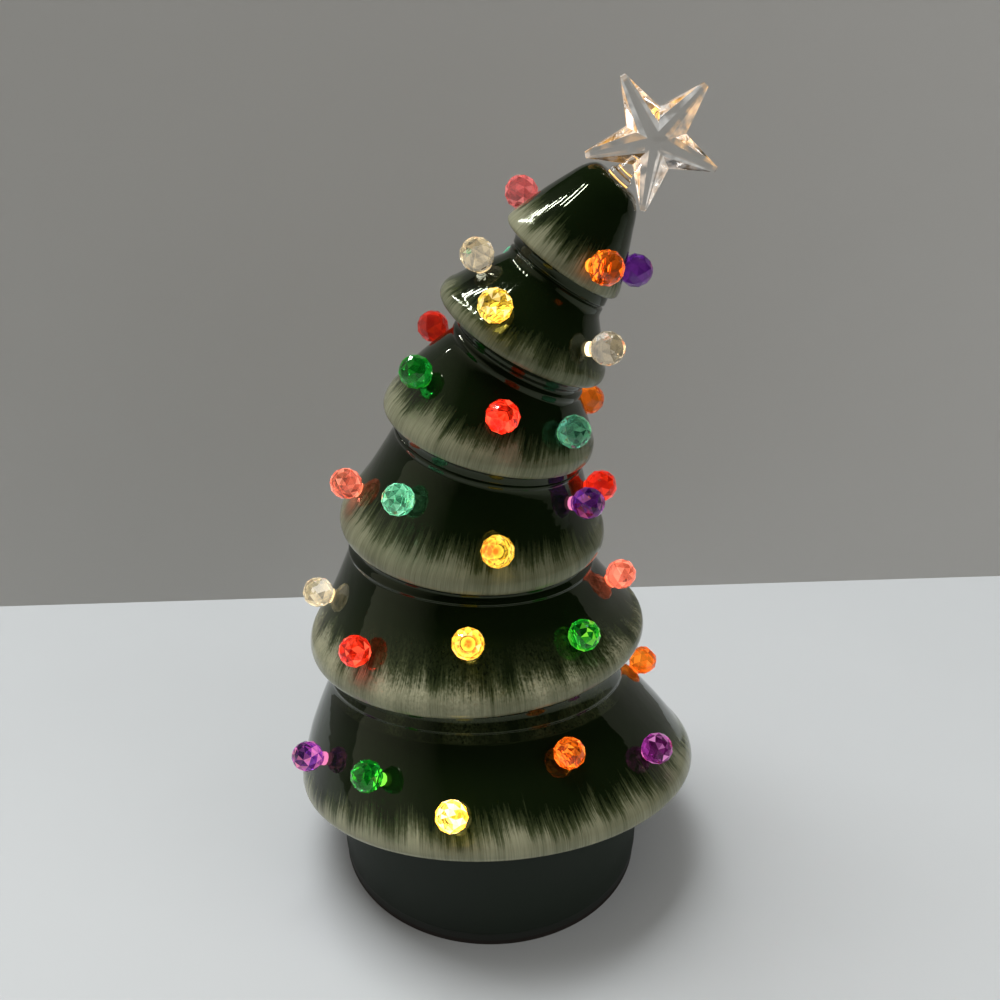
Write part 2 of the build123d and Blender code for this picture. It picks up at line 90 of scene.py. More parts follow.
# Even painted sheen on the lowest waist, which stands in for its reflections of the room and the bulbs
WAIST_PAINTED_SHEEN = 0.38
WASH_RISE = 4.0
WASH_FULL = 1.3
WASH_FALL = 1.5

# Waists under the upper five lips, as in the solids. The wall is hollowed by the cove, and a low bead runs
# round it a little above the foot.
WAIST_CENTRE = np.array(((21.3, 12.1, 231.9), (9.2, 15.2, 202.7), (-0.7, 13.9, 171.9),
                         (-7.3, 17.5, 125.6), (-5.4, 13.8, 73.9)))
WAIST_RADIUS = (18.7, 25.4, 34.6, 46.7, 57.9)
WAIST_TILT = (33.9, 27.1, 11.7, 3.1, -0.7)
WAIST_LEAN = (4.5, -1.8, -1.9, 4.9, 11.0)
WAIST_SHARE = 0.92
WAIST_CORNER = 0.9
WAIST_ROUND = 3.0
WAIST_ROUND_END = 0.7
WAIST_COVE = (0.7, 0.9, 0.9, 1.3, 1.8)
WAIST_BEAD = (0.0, 0.2, 0.5, 0.5, 0.5)
BEAD_UP = 1.7
BEAD_HALF = 0.9

# Tip with its rounded edge, and the star's socket
TIP_CENTRE = np.array((41.2, 13.5, 266.0))
TIP_TILT = 42.0
TIP_RADIUS = 10.4
TIP_BEVEL = 1.2
TIP_ROUND = 4.2
TIP_ROUND_END = 0.24
TIP_SAG = 0.05
TIP_CORNER_OUT = 0.1
TIP_CORNER_DOWN = 0.2
SOCKET_RADIUS = 2.95
SOCKET_DEPTH = 9.0
SOCKET_EDGE_WIDE = 0.5
SOCKET_EDGE_DEEP = 0.4

# Shelf on the drum, and the foot of the hollow above it
SHELF_Z = 56.0
SHELF_THICK = 4.0
SHELF_INNER = 44.0
SHELF_OUTER = 64.0
HOLLOW_FOOT = (1.0, 2.0)
HOLLOW_FOOT_RADIUS = 58.0

# Places on the last slope that the skirt's inside follows; then the lower and the upper place of the hollow
# behind each slope, and its two places behind a waist
SKIRT_PLACES = (1.0, 0.8, 0.7)
HOLLOW_LOW = (0.9, 0.9, 0.9, 0.9, 0.9, 0.06)
HOLLOW_HIGH = (0.45, 0.03, 0.03, 0.03, 0.03, 0.03)
HOLLOW_WAIST = (0.8, 0.3)

# Bulbs, as in the solids: angle round the axis, place down the slope, how far it is pulled out, colour
BULB_ROWS = (
    ((143, 0.88, 0.0, "pink"), (285, 0.82, 3.4, "orange"), (14, 0.79, 0.0, "purple"),
     (78, 0.72, 0.0, "green")),
    ((194, 0.38, 0.0, "clear"), (238, 0.66, 0.0, "yellow"), (314, 0.50, 1.6, "clear"),
     (60, 0.55, 0.0, "red"), (110, 0.50, 0.0, "teal")),
    ((147, 0.36, 0.0, "red"), (210, 0.49, 0.0, "green"), (266, 0.41, 0.0, "red"),
     (310, 0.42, 0.0, "teal"), (30, 0.67, 0.0, "orange"), (83, 0.45, 0.0, "yellow")),
    ((191, 0.68, 0.0, "coral"), (230, 0.37, 0.0, "teal"), (278, 0.64, 0.0, "yellow"),
     (326, 0.25, 1.0, "purple"), (349, 0.27, 0.0, "red"), (48, 0.55, 0.0, "green"),
     (122, 0.42, 0.0, "orange")),
    ((191, 0.49, 0.0, "clear"), (229, 0.66, 0.0, "red"), (269, 0.38, 0.0, "yellow"),
     (311, 0.53, 0.0, "green"), (354, 0.35, 0.0, "coral"), (55, 0.60, 0.0, "purple"),
     (92, 0.45, 0.0, "teal"), (128, 0.55, 0.0, "yellow")),
    ((211, 0.55, 1.6, "purple"), (238, 0.47, 3.4, "green"), (261, 0.69, 0.0, "yellow"),
     (297, 0.29, 0.0, "orange"), (326, 0.57, 0.0, "magenta"), (16, 0.32, 0.0, "orange"),
     (50, 0.60, 0.0, "clear"), (80, 0.40, 0.0, "red"), (108, 0.62, 0.0, "green"),
     (138, 0.42, 0.0, "teal")),
)

# One bulb: globe with the latitudes of its rings, stem and collar, and the lit core of the stem, whose dome
# is given by radius and height; then the steps in degrees and down the slope that give a seat its directions
BULB_RADIUS = 5.8
BULB_SIDES = 10
BULB_LATITUDE = (-40.0, -14.0, 12.0, 38.0, 62.0)
BULB_RISE = 0.87
BULB_CROWN = 0.25
STEM_RADIUS = 2.5
STEM_DEPTH = 0.8
COLLAR_RADIUS = 2.9
COLLAR_LENGTH = 0.5
COLLAR_GAP = 0.25
COLLAR_STEP = 0.05
CORE_RADIUS = 2.2
CORE_DEPTH = 0.3
CORE_SIDES = 14
CORE_DOME = ((CORE_RADIUS, 0.2), (1.6, 0.55), (0.8, 0.7))
CORE_TOP = 0.75
CORE_PULL = 0.6
SEAT_TURN = 0.1
SEAT_STEP = 0.001

# How brightly each of those bulbs is lit from inside; every facet gets a random part of that
FACET_GLOW = 0.85
FACET_POWER = 1.7
BULB_GLOW = (
    (0.68, 0.30, 0.55, 0.6),
    (0.48, 1.15, 0.24, 0.8, 0.7),
    (0.26, 0.38, 1.05, 0.36, 0.32, 0.8),
    (1.0, 1.15, 0.75, 0.8, 0.6, 0.7, 0.7),
    (0.78, 1.12, 0.95, 1.15, 1.02, 0.8, 0.7, 0.8),
    (1.15, 0.28, 2.2, 1.05, 1.05, 0.75, 0.7, 0.8, 0.7, 0.7),
)
# Colour of the plastic
BULB_COLOUR = {
    "pink": (0.90, 0.22, 0.22), "orange": (0.95, 0.25, 0.02), "purple": (0.16, 0.03, 0.36),
    "green": (0.02, 0.50, 0.07), "clear": (0.95, 0.90, 0.82), "yellow": (0.96, 0.70, 0.16),
    "red": (0.85, 0.035, 0.02), "teal": (0.20, 0.70, 0.50), "coral": (0.92, 0.22, 0.15),
    "magenta": (0.38, 0.04, 0.36),
}
# Light of the facets
BULB_LIGHT = {
    "pink": (0.62, 0.15, 0.14), "orange": (0.84, 0.15, 0.012), "purple": (0.10, 0.018, 0.14),
    "green": (0.008, 0.34, 0.018), "clear": (0.70, 0.55, 0.30), "yellow": (0.90, 0.60, 0.055),
    "red": (0.85, 0.036, 0.006), "teal": (0.18, 0.55, 0.29), "coral": (0.74, 0.18, 0.10),
    "magenta": (0.165, 0.02, 0.14),
}
# Light of the brightest facets and of the bared stems
BULB_BRIGHT = {
    "pink": (1.0, 0.55, 0.50), "orange": (1.0, 0.48, 0.05), "purple": (1.0, 0.30, 0.40),
    "green": (0.36, 1.0, 0.06), "clear": (1.0, 0.90, 0.70), "yellow": (1.0, 0.93, 0.72),
    "red": (1.0, 0.25, 0.12), "teal": (0.50, 1.0, 0.75), "coral": (1.0, 0.50, 0.35),
    "magenta": (1.0, 0.40, 0.80),
}
# Light of the lamps inside, and its share in a stem's lit core
LAMP_LIGHT = np.array((1.0, 0.62, 0.30))
LAMP_SHARE = 0.2

# Star, as in the solid: its middle above the tip, the reach of tips and valleys, half of its thickness
# and of its rim's; then how far the flat strip and the rim end before the tip, half their widths there,
# and how far out the strip's sides start
STAR_HEIGHT = 16.4
STAR_REACH = 22.8
STAR_VALLEY = 10.0
STAR_HALF = 5.4
STAR_RIM = 1.2
STRIP_SHORT = 2.2
STRIP_HALF = 0.75
STRIP_CREASE = 3.2
RIM_SHORT = 0.5
RIM_HALF = 0.85

# Light that the star's facets carry: the least and the most on the long sides, on the tips, on the rim and
# on the stem, and how warm the stem's is; then the width of its soft edges and the angle from which an edge
# gets one
SIDE_GLINT = (0.03, 0.62)
TIP_GLINT = 0.2
RIM_GLINT = 0.30
STEM_GLINT = 0.04
STEM_WARMTH = 0.9
EDGE_WIDTH = 0.22
EDGE_ANGLE = 14.0

# Stem, collar and peg of the star, and the lit bore of the peg: radius and height above the tip
STAR_STEM = ((1.5, 9.6), (2.6, 9.0), (2.7, 4.0), (3.4, 2.4), (4.15, 1.9), (4.2, 1.5), (4.2, 0.45),
             (4.1, 0.32), (2.8, 0.3), (2.8, -7.4), (2.2, -8.1), (1.0, -8.15))
STAR_BORE = ((0.3, -0.5), (0.9, -0.8), (1.2, -1.4), (1.2, -7.2), (0.3, -7.4))

# Light at the socket: the ring under the star's collar and the disc on the socket's floor
SOCKET_RIM = ((2.95, 0.2), (4.1, 0.2), (4.1, 0.06), (2.95, 0.06))
SOCKET_DISC = ((1.0, 0.3), (2.6, 0.3), (2.6, 0.08), (1.0, 0.08))

# Drum, as in the solids; then its rounded edges and the small ring round its poles
BASE_RADIUS = 60.0
BASE_BOTTOM = 5.0
BASE_TOP = 55.0
BASE_WALL = 2.5
BASE_ROOF = 3.0
BASE_TOP_ROUND = 1.5
BASE_FOOT_RISE = 1.2
BASE_FOOT_WIDE = 0.8
BASE_MIDDLE = 0.4


def ring_axes(tilt, lean):
    """Across, back and along vectors of a ring that leans by tilt to the right and by lean to the back."""
    along = np.array((math.sin(math.radians(tilt)), math.sin(math.radians(lean)),
                      math.cos(math.radians(tilt)) * math.cos(math.radians(lean))))
    return axes_from(along)


def axes_from(along):
    """Across is square to along and to the tree's own backward axis; back completes the right-handed set."""
    along = along / np.linalg.norm(along, axis=-1, keepdims=True)
    across = np.cross(np.broadcast_to((0.0, 1.0, 0.0), along.shape), along)
    across = across / np.linalg.norm(across, axis=-1, keepdims=True)
    return across, np.cross(along, across), along


LIP_ALONG = np.array([ring_axes(tilt, lean)[2] for tilt, lean in zip(TIER_TILT, TIER_LEAN)])
TIP_ALONG = ring_axes(TIP_TILT, 0.0)[2]


def ring(centre, along, radius):
    """One ring as a row of seven numbers: centre, axis and radius."""
    return np.concatenate((centre, along, (radius,)))


def lip_ring(tier, radius, along_offset):
    """Ring square to a lip's axis, at an offset along it."""
    return ring(TIER_CENTRE[tier] + LIP_ALONG[tier] * along_offset, LIP_ALONG[tier], radius)


def tip_ring(radius, along_offset):
    """Ring square to the tip's axis, at an offset along it."""
    return ring(TIP_CENTRE + TIP_ALONG * along_offset, TIP_ALONG, radius)


def level_ring(radius, height, middle=(0.0, 0.0)):
    """Level ring at a height, round the drum's axis or another upright one."""
    return ring((*middle, height), (0.0, 0.0, 1.0), radius)


def tip_profile(profile, lift=0.0):
    """Rings on the tip's axis from pairs of radius and height, all raised by lift."""
    return np.stack([tip_ring(radius, level + lift) for radius, level in profile])


def straight(first, last, count):
    """Rings evenly spaced from first towards last, last left out."""
    part = np.linspace(0.0, 1.0, count, endpoint=False)[:, None]
    return first * (1 - part) + last * part


def rounded(first, corner, last, count):
    """Rings on the parabola that leaves first and reaches last tangent to the corner, last left out."""
    part = np.linspace(0.0, 1.0, count, endpoint=False)[:, None]
    return first * (1 - part) ** 2 + corner * (2 * part * (1 - part)) + last * part ** 2


def slope_rings(tier, places):
    """Rings down a tier's slope: a straight cone from the waist to the lip plus a low swelling.

    The swelling is a tent that peaks at the shoulder plus a softened sine arch.
    """
    start = slope_start(tier)
    end = lip_ring(tier, TIER_RADIUS[tier], 0.0)
    part = np.asarray(places, float)[:, None]
    rings = start * (1 - part) + end * part
    tent = np.interp(part[:, 0], (0.0, SHOULDER_AT, 1.0), (0.0, 1.0, 0.0))
    arch = np.sin(np.pi * np.clip(part[:, 0], 0, 1)) ** ARCH_POWER
    rings[:, 6] += TIER_RADIUS[tier] * SHOULDER_BULGE[tier] * (SWELL_TENT * tent + SWELL_ARCH * arch)
    return rings


def slope_start(tier):
    """Ring where a tier's slope starts: the tip's shoulder, or the foot of the waist under the tier above."""
    if tier == 0:
        return tip_ring(TIP_RADIUS, -TIP_BEVEL)
    above = tier - 1
    along = ring_axes(WAIST_TILT[above], WAIST_LEAN[above])[2]
    return ring(WAIST_CENTRE[above], along, WAIST_RADIUS[above])


def waist_rings(tier, parts):
    """Rings down the waist under a lip, from a ring inside the lip (0) straight to the waist's foot (1)."""
    foot = slope_start(tier + 1)
    offset = foot[:3] - TIER_CENTRE[tier]
    sideways = offset - LIP_ALONG[tier] * (offset @ LIP_ALONG[tier])
    top = lip_ring(tier, min(foot[6], WAIST_SHARE * TIER_RADIUS[tier]), -LIP_DROP[tier] / 2)
    top[:3] += sideways / 2
    part = np.asarray(parts, float)[:, None]
    return top * (1 - part) + foot * part


def ring_points(rings, turns):
    """Points of every ring at every angle: centre plus radius times the turned across vector."""
    across, back = axes_from(rings[:, 3:6])[:2]
    spread = across[:, None] * np.cos(turns)[None, :, None] + back[:, None] * np.sin(turns)[None, :, None]
    return rings[:, None, 0:3] + rings[:, None, 6:7] * spread


def wrapped_faces(rows, columns):
    """Quads of a grid whose columns close on themselves."""
    row = np.arange(rows - 1)[:, None] * columns
    col = np.arange(columns)[None, :]
    nxt = (col + 1) % columns
    quads = np.stack((row + col, row + columns + col, row + columns + nxt, row + nxt), -1)
    return quads.reshape(-1, 4)


def new_piece(name, points, faces, smooth=True):
    """Mesh object at the origin with its place in its points, which come in millimetres."""
    mesh = bpy.data.meshes.new(name)
    mesh.from_pydata((points * MM).tolist(), [], [list(face) for face in faces])
    mesh.update()
    mesh.polygons.foreach_set("use_smooth", np.full(len(mesh.polygons), smooth))
    piece = bpy.data.objects.new(name, mesh)
    bpy.context.scene.collection.objects.link(piece)
    return piece


def shifted(faces, count):
    """Faces of a part whose points come after count other points."""
    return [[corner + count for corner in face] for face in faces]


def add_field(piece, name, kind, domain, values):
    """Field of numbers or vectors on the points or faces of a piece, for its material."""
    layer = piece.data.attributes.new(name, kind, domain)
    key = "value" if kind == "FLOAT" else "vector"
    layer.data.foreach_set(key, np.asarray(values, np.float32).ravel())


def even_turns(count):
    """Angles evenly spaced over one full turn, from 0."""
    return np.linspace(0.0, 2 * math.pi, count, endpoint=False)


def lathe_turns(columns):
    """Angles of a lathe's columns, evenly spaced from the back round by the left."""
    return math.pi / 2 + even_turns(columns)


def lathe_grid(rings, columns):
    """Points and faces of the closed surface through the rings, with a pole at both ends of the row."""
    grid = ring_points(rings, lathe_turns(columns))
    points = np.concatenate((grid.reshape(-1, 3), rings[:1, 0:3], rings[-1:, 0:3]))
    return points, poled_faces(len(rings), columns)


def poled_faces(rows, columns):
    """Quads of a grid with closed columns, and a fan to a pole before the first row and after the last."""
    col = np.arange(columns)
    nxt = (col + 1) % columns
    first, last, end = rows * columns, rows * columns + 1, (rows - 1) * columns
    faces = wrapped_faces(rows, columns).tolist()
    faces += np.stack((np.full(columns, first), col, nxt), -1).tolist()
    faces += np.stack((np.full(columns, last), end + nxt, end + col), -1).tolist()
    return faces


def lathe_piece(name, rings, columns):
    """Piece turned from a row of rings."""
    return new_piece(name, *lathe_grid(rings, columns))


# Casting


def tip_part():
    """Rings up the socket's bore, over its rounded edge and the flat tip, and round the tip's edge."""
    bore_end = tip_ring(SOCKET_RADIUS, -SOCKET_EDGE_DEEP)
    flat_start = tip_ring(SOCKET_RADIUS + SOCKET_EDGE_WIDE, 0.0)
    flat_end = tip_ring(TIP_RADIUS - TIP_ROUND, -TIP_SAG)
    corner = tip_ring(TIP_RADIUS + TIP_CORNER_OUT, -TIP_CORNER_DOWN)
    return np.concatenate((
        straight(tip_ring(SOCKET_RADIUS, -SOCKET_DEPTH), bore_end, 3),
        rounded(bore_end, tip_ring(SOCKET_RADIUS, 0.0), flat_start, 3),
        straight(flat_start, flat_end, 3),
        rounded(flat_end, corner, slope_rings(0, (TIP_ROUND_END,))[0], 12)))


def lip_end(tier):
    """Ring under a lip where its rounded edge ends."""
    return lip_ring(tier, TIER_RADIUS[tier] - LIP_UNDER, -LIP_DROP[tier] - LIP_SAG)


def tier_part(tier):
    """Rings down a tier's slope and round its lip: a parabola to the widest ring, another under the lip."""
    radius, drop = TIER_RADIUS[tier], LIP_DROP[tier]
    top = TIP_ROUND_END if tier == 0 else SLOPE_TOP
    round_start = slope_rings(tier, (LIP_ROUND_AT,))[0]
    widest = lip_ring(tier, radius, -LIP_WIDEST * drop)
    return np.concatenate((
        slope_rings(tier, np.linspace(top, LIP_ROUND_AT, 22, endpoint=False)),
        rounded(round_start, lip_ring(tier, radius, LIP_CORNER * drop), widest, 9),
        rounded(widest, lip_ring(tier, radius - LIP_TUCK, -drop), lip_end(tier), 8)))


def waist_part(tier):
    """Rings under a lip: a round into the waist, its hollowed wall, the low bead and a round into the slope.

    The hollow is half a wave of a sine, and the bead a parabola.
    """
    drop = LIP_DROP[tier]
    fall = (TIER_CENTRE[tier] - WAIST_CENTRE[tier]) @ LIP_ALONG[tier] - drop / 2
    corner = (drop / 2 + WAIST_CORNER) / fall
    below = min(corner + WAIST_ROUND / fall, WAIST_ROUND_END)
    bead, half = 1 - BEAD_UP / fall, BEAD_HALF / fall
    inside, wall, over, proud, under, foot = waist_rings(
        tier, (corner, below, bead - half, bead, bead + half, 1.0))
    proud[6] += WAIST_BEAD[tier]
    hollowed = straight(wall, over, 9)
    hollowed[:, 6] -= WAIST_COVE[tier] * np.sin(np.linspace(0.0, math.pi, 9, endpoint=False))
    return np.concatenate((
        rounded(lip_end(tier), inside, wall, 12), hollowed, rounded(over, proud, under, 6),
        rounded(under, foot, slope_rings(tier + 1, (SLOPE_TOP,))[0], 7)))


def skirt_part():
    """Rings under the last lip, up the inside of the skirt and round the shelf to the foot of the hollow."""
    inside = lip_ring(LAST_TIER, TIER_RADIUS[LAST_TIER] - WALL, -LIP_DROP[LAST_TIER])
    hollow = slope_rings(LAST_TIER, SKIRT_PLACES)
    hollow[:, 6] -= WALL
    top = SHELF_Z + SHELF_THICK
    shelf = np.stack((
        level_ring(SHELF_OUTER, SHELF_Z), level_ring(SHELF_INNER, SHELF_Z), level_ring(SHELF_INNER, top),
        level_ring(HOLLOW_FOOT_RADIUS, top, HOLLOW_FOOT)))
    return np.concatenate((straight(lip_end(LAST_TIER), inside, 3), hollow, shelf))


def hollow_part(tier):
    """Rings up the hollow behind a tier and the waist above it, one wall inside the outer surface."""
    rings = slope_rings(tier, (HOLLOW_LOW[tier], HOLLOW_HIGH[tier]))
    if tier > 0:
        rings = np.concatenate((rings, waist_rings(tier - 1, HOLLOW_WAIST)))
    rings[:, 6] -= WALL
    return rings


def casting_rings():
    """Rings from the socket's floor over all six tiers, round the last lip and up the hollow.

    The tier of every ring comes with them, and for every tier the number of the ring at its lip's edge.
    """
    parts, edge_row = [(0, tip_part())], []
    for tier in range(LAST_TIER + 1):
        parts.append((tier, tier_part(tier)))
        edge_row.append(sum(len(rings) for owner, rings in parts) - LIP_EDGE_ROWS)
        if tier < LAST_TIER:
            parts.append((tier, waist_part(tier)))
    parts.append((LAST_TIER, skirt_part()))
    parts += [(tier, hollow_part(tier)) for tier in range(LAST_TIER, -1, -1)]
    tiers = np.concatenate([np.full(len(rings), owner) for owner, rings in parts])
    return np.concatenate([rings for owner, rings in parts]), tiers, np.array(edge_row)


def make_casting():
    """Casting with three fields for its glaze, in which heights are parts of the slope's length.

    brush_space tells where a point lies round its tier and how high above the lip. lip_place holds that
    height, the brush's reach there and how much paint the brush leaves: none outside the lips' bands, more
    on the left, which is partly painted light that makes the left side paler. wash_and_sheen holds a thin
    coat that starts above the lip and fades up the slope, strongest on the fifth tier, and an even painted
    sheen on the lowest waist, which stands in for its reflections.
    """
    rings, tiers, edge_row = casting_rings()
    columns = 224
    turns = lathe_turns(columns)
    piece = lathe_piece("glazed_casting", rings, columns)
    step = np.zeros(len(rings))
    step[1:] = np.hypot(np.diff(rings[:, 6]), np.linalg.norm(np.diff(rings[:, 0:3], axis=0), axis=1))
    run = np.cumsum(step)
    starts = np.stack([slope_start(tier) for tier in range(LAST_TIER + 1)])
    length = np.hypot(TIER_RADIUS - starts[:, 6], np.linalg.norm(TIER_CENTRE - starts[:, :3], axis=1))
    height = (run[edge_row][tiers] - run) / length[tiers]
    heights = np.repeat(height[:, None], columns, 1)
    radius = TIER_RADIUS[tiers]
    around = np.stack((np.outer(radius, np.cos(turns)), np.outer(radius, np.sin(turns)), heights), -1)
    brushed = (height > BRUSH_LOW) & (height < BRUSH_HIGH)
    # Paint is heavier on the left; this is partly painted light that makes the left side paler
    load = np.outer(brushed * BRUSH_LOAD[tiers], 1.0 - LEFT_PAINT_AND_LIGHT * np.cos(turns))
    reach = BRUSH_REACH[tiers][:, None] + np.outer(BRUSH_SIDE[tiers], np.cos(turns))
    place = np.stack((heights, reach, load), -1)
    fade = np.clip(WASH_RISE * height, 0.0, 1.0) * np.clip(WASH_FULL - WASH_FALL * height, 0.0, 1.0)
    # The lowest waist gets an even painted sheen, which stands in for its reflections; the tiers get their
    # wash
    low_waist = (tiers == LAST_TIER - 1) & (height < BRUSH_LOW)
    wash_and_sheen = np.where(brushed, BRUSH_WASH[tiers] * fade, WAIST_PAINTED_SHEEN * low_waist)
    add_field(piece, "wash_and_sheen", "FLOAT", "POINT", np.append(np.repeat(wash_and_sheen, columns), (0.0, 0.0)))
    poles = np.array(((1.0, 0.0, 0.0), (1.0, 0.0, 0.0)))
    for field, values in (("brush_space", around), ("lip_place", place)):
        add_field(piece, field, "FLOAT_VECTOR", "POINT", np.concatenate((values.reshape(-1, 3), poles)))
    return piece


# Bulbs and the light at the socket


def slope_point(tier, angle, place):
    """Point of the solid's own slope, two straight cones that meet at the shoulder."""
    start = slope_start(tier)
    end = lip_ring(tier, TIER_RADIUS[tier], 0.0)
    middle = start * (1 - SHOULDER_AT) + end * SHOULDER_AT
    middle[6] += TIER_RADIUS[tier] * SHOULDER_BULGE[tier]
    turn = np.array((math.radians(angle),))
    high, shoulder, low = ring_points(np.stack((start, middle, end)), turn)[:, 0]
    if place < SHOULDER_AT:
        part = place / SHOULDER_AT
        return high * (1 - part) + shoulder * part
    part = (place - SHOULDER_AT) / (1 - SHOULDER_AT)
    return shoulder * (1 - part) + low * part


def bulb_seat(tier, angle, place):
    """Seat of a bulb: the point on the slope, two vectors along the surface and the outward one.

    The vectors along the surface come from small steps round and down it, the outward one is square to both.
    """
    spot = slope_point(tier, angle, place)
    sideways = slope_point(tier, angle + SEAT_TURN, place) - slope_point(tier, angle - SEAT_TURN, place)
    sideways /= np.linalg.norm(sideways)
    downward = slope_point(tier, angle, place + SEAT_STEP) - slope_point(tier, angle, place - SEAT_STEP)
    outward = np.cross(downward, sideways)
    outward /= np.linalg.norm(outward)
    start = slope_start(tier)
    if outward @ (spot - start[:3] * (1 - place) - TIER_CENTRE[tier] * place) < 0:
        outward = -outward
    return spot, sideways, np.cross(outward, sideways), outward


def seat_to_tree(local, seat):
    """Local points of a bulb carried onto its seat."""
    spot, sideways, upward, outward = seat
    return spot + local[:, 0:1] * sideways + local[:, 1:2] * upward + local[:, 2:3] * outward


def spun(rows, turns):
    """Points round a bulb's own axis: rows of radius and height, each at its row of turns."""
    heights = np.broadcast_to(rows[:, 1:2], turns.shape)
    return np.stack((rows[:, 0:1] * np.cos(turns), rows[:, 0:1] * np.sin(turns), heights), -1).reshape(-1, 3)


def bulb_form(pull):
    """Stem, collar and globe of one bulb: rings of ten points, every other globe ring turned by half a step.

    The globe's rings lie on a sphere, and the triangles between turned rings are its flat facets.
    """
    base = pull + COLLAR_GAP
    middle = base + COLLAR_LENGTH + BULB_RISE * BULB_RADIUS
    stem = np.array(((STEM_RADIUS, -STEM_DEPTH, 0.0), (STEM_RADIUS, base, 0.0),
                     (COLLAR_RADIUS, base + COLLAR_STEP, 0.0), (COLLAR_RADIUS, base + COLLAR_LENGTH, 0.0)))
    latitude = np.radians(BULB_LATITUDE)
    turned = np.array((1.0, 0.0, 1.0, 0.0, 1.0))
    globe = np.stack((BULB_RADIUS * np.cos(latitude), middle + BULB_RADIUS * np.sin(latitude), turned), -1)
    rows = np.concatenate((stem, globe))
    turns = (np.arange(BULB_SIDES)[None, :] + 0.5 * rows[:, 2:3]) * (2 * math.pi / BULB_SIDES)
    poles = ((0, 0, rows[0, 1]), (0, 0, rows[-1, 1] + BULB_CROWN))
    points = np.concatenate((spun(rows, turns), poles))
    faces = []
    col = np.arange(BULB_SIDES)
    nxt = (col + 1) % BULB_SIDES
    for row in range(len(rows) - 1):
        low, high = row * BULB_SIDES, (row + 1) * BULB_SIDES
        shift = rows[row + 1, 2] - rows[row, 2]
        if shift == 0:
            faces += np.stack((low + col, low + nxt, high + nxt, high + col), -1).tolist()
        elif shift > 0:
            faces += np.stack((low + col, low + nxt, high + col), -1).tolist()
            faces += np.stack((low + nxt, high + nxt, high + col), -1).tolist()
        else:
            faces += np.stack((low + col, high + nxt, high + col), -1).tolist()
            faces += np.stack((low + col, low + nxt, high + nxt), -1).tolist()
    last = (len(rows) - 1) * BULB_SIDES
    faces += np.stack((np.full(BULB_SIDES, len(points) - 2), nxt, col), -1).tolist()
    faces += np.stack((np.full(BULB_SIDES, len(points) - 1), last + col, last + nxt), -1).tolist()
    return points, faces


def lit_end_form(pull):
    """Lit core of a bulb's stem: a low dome of four rings, the upper three raised by the pull.

    The third result tells how far the points of every ring and the top lie from the core's axis, as a part
    of its radius. The hidden lower pole counts as far.
    """
    rows = np.array(((CORE_RADIUS, -CORE_DEPTH), *((radius, pull + rise) for radius, rise in CORE_DOME)))
    turns = np.tile(even_turns(CORE_SIDES), (len(rows), 1))
    points = np.concatenate((spun(rows, turns), ((0, 0, -CORE_DEPTH), (0, 0, pull + CORE_TOP))))
    faces = [face[::-1] for face in poled_faces(len(rows), CORE_SIDES)]
    reach = np.concatenate((np.repeat(rows[:, 0], CORE_SIDES), (CORE_RADIUS, 0.0)))
    return points, faces, reach / CORE_RADIUS


def make_lit_socket():
    """Light at the star's socket: a thin ring in the gap under the collar and a disc on its floor."""
    columns = 32
    rim_points = ring_points(tip_profile(SOCKET_RIM), even_turns(columns)).reshape(-1, 3)
    rim_faces = wrapped_faces(len(SOCKET_RIM) + 1, columns) % len(rim_points)
    disc_points, disc_faces = lathe_grid(tip_profile(SOCKET_DISC, -SOCKET_DEPTH), columns)
    faces = rim_faces.tolist() + shifted(disc_faces, len(rim_points))
    return new_piece("lit_socket", np.concatenate((rim_points, disc_points)), faces)


# Star


